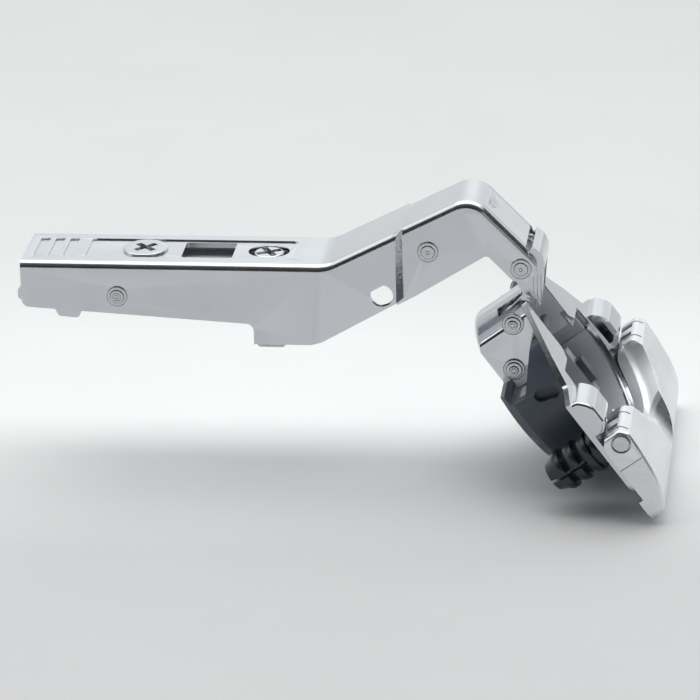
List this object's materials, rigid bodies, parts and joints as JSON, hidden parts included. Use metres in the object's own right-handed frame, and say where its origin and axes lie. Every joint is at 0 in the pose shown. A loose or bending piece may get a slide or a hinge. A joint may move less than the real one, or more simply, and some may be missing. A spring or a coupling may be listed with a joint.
{
  "type": "concealed cabinet hinge",
  "caption": "Angled clip-on concealed cabinet hinge, door fully open, with a cranked steel arm, soft-close cup and a locking lever over expanding dowels.",
  "frame": {"origin": "on the clip carrier's seat face, where it lies on the mounting plate, in the middle plane of the hinge", "axes": "+X along the arm towards the door, +Z out of the cabinet side through the arm's top, +Y along the pivots"},
  "size_m": [0.1201, 0.0572, 0.0526],
  "materials": {
    "nickel_steel": "bright nickel plate",
    "spring_steel": "drawn wire",
    "satin_cast": "satin nickel plate on die casting",
    "housing_plastic": "fine grained moulding",
    "dowel_plastic": "smooth moulding",
    "rod_steel": "turned"
  },
  "bodies": {
    "carrier": {"clip_carrier": "nickel_steel", "latch_pin": "nickel_steel", "latch_spring": "spring_steel"},
    "latch": {"latch_lever": "nickel_steel"},
    "arm": {"hinge_arm": "nickel_steel", "guide_rivets": "nickel_steel", "lever_rivet": "nickel_steel", "closing_spring": "spring_steel", "link_rivets": "nickel_steel"},
    "depth_cam": {"depth_cam": "nickel_steel"},
    "side_screw": {"side_screw": "nickel_steel"},
    "closing_lever": {"closing_lever": "nickel_steel"},
    "outer_link": {"outer_link": "nickel_steel"},
    "cup": {"cup_shell": "nickel_steel", "cup_pin_outer": "nickel_steel", "cup_pin_inner": "nickel_steel", "cup_springs": "spring_steel", "damper_housing": "housing_plastic", "damper_cylinders": "housing_plastic", "dowel_near": "dowel_plastic", "dowel_far": "dowel_plastic", "lever_pins": "nickel_steel"},
    "damper_lever": {"damper_lever": "housing_plastic"},
    "damper_pistons": {"damper_pistons": "rod_steel"},
    "damping_switch": {"damping_switch": "housing_plastic"},
    "locking_lever": {"locking_lever": "satin_cast"},
    "spreaders": {"spreader_near": "rod_steel", "spreader_far": "rod_steel"}
  },
  "joints": [
    {"name": "arm_depth", "type": "slide", "parent": "carrier", "child": "arm", "axis": [1, 0, 0], "range_m": [-0.002, 0.002]},
    {"name": "latch_turn", "type": "hinge", "parent": "carrier", "child": "latch", "pos_m": [-0.0153, 0, -0.0014], "axis": [0, 1, 0], "range_deg": [0, 10]},
    {"name": "cam_turn", "type": "hinge", "parent": "arm", "child": "depth_cam", "pos_m": [-0.0047, 0, 0.004], "axis": [0, 0, 1], "range_deg": [-90, 90]},
    {"name": "screw_turn", "type": "hinge", "parent": "arm", "child": "side_screw", "pos_m": [0.0182, 0, 0.004], "axis": [0, 0, 1], "range_deg": [-180, 180]},
    {"name": "closing_turn", "type": "hinge", "parent": "arm", "child": "closing_lever", "pos_m": [0.0482, 0, 0.00664], "axis": [0, -1, 0], "range_deg": [-4, 0]},
    {"name": "link_turn", "type": "hinge", "parent": "arm", "child": "outer_link", "pos_m": [0.06505, 0, 0.00363], "axis": [0, -1, 0], "range_deg": [-11, 0]},
    {"name": "door_fold", "type": "hinge", "parent": "outer_link", "child": "cup", "pos_m": [0.06365, 0, -0.00621], "axis": [0, -1, 0], "range_deg": [0, 106]},
    {"name": "damper_turn", "type": "hinge", "parent": "cup", "child": "damper_lever", "pos_m": [0.06378, 0, -0.01502], "axis": [0, -1, 0], "range_deg": [-80, 0]},
    {"name": "piston_push", "type": "slide", "parent": "cup", "child": "damper_pistons", "axis": [0.5878, 0, -0.809], "range_m": [0, 0.003]},
    {"name": "switch_slide", "type": "slide", "parent": "cup", "child": "damping_switch", "axis": [0.5878, 0, -0.809], "range_m": [0, 0.0025]},
    {"name": "lock_lift", "type": "hinge", "parent": "cup", "child": "locking_lever", "pos_m": [0.08424, 0, -0.02129], "axis": [0, -1, 0], "range_deg": [0, 85]},
    {"name": "spreader_slide", "type": "slide", "parent": "cup", "child": "spreaders", "axis": [-0.809, 0, -0.5878], "range_m": [0, 0.0008]}
  ],
  "couplings": [
    {"joint": "cam_turn", "follows": "arm_depth", "rad_per_m": 785.4},
    {"joint": "closing_turn", "follows": "door_fold", "ratio": -0.03},
    {"joint": "link_turn", "follows": "door_fold", "ratio": -0.1},
    {"joint": "damper_turn", "follows": "door_fold", "ratio": -0.75},
    {"joint": "piston_push", "follows": "door_fold", "m_per_rad": 0.0015},
    {"joint": "spreader_slide", "follows": "lock_lift", "m_per_rad": 0.00053}
  ]
}
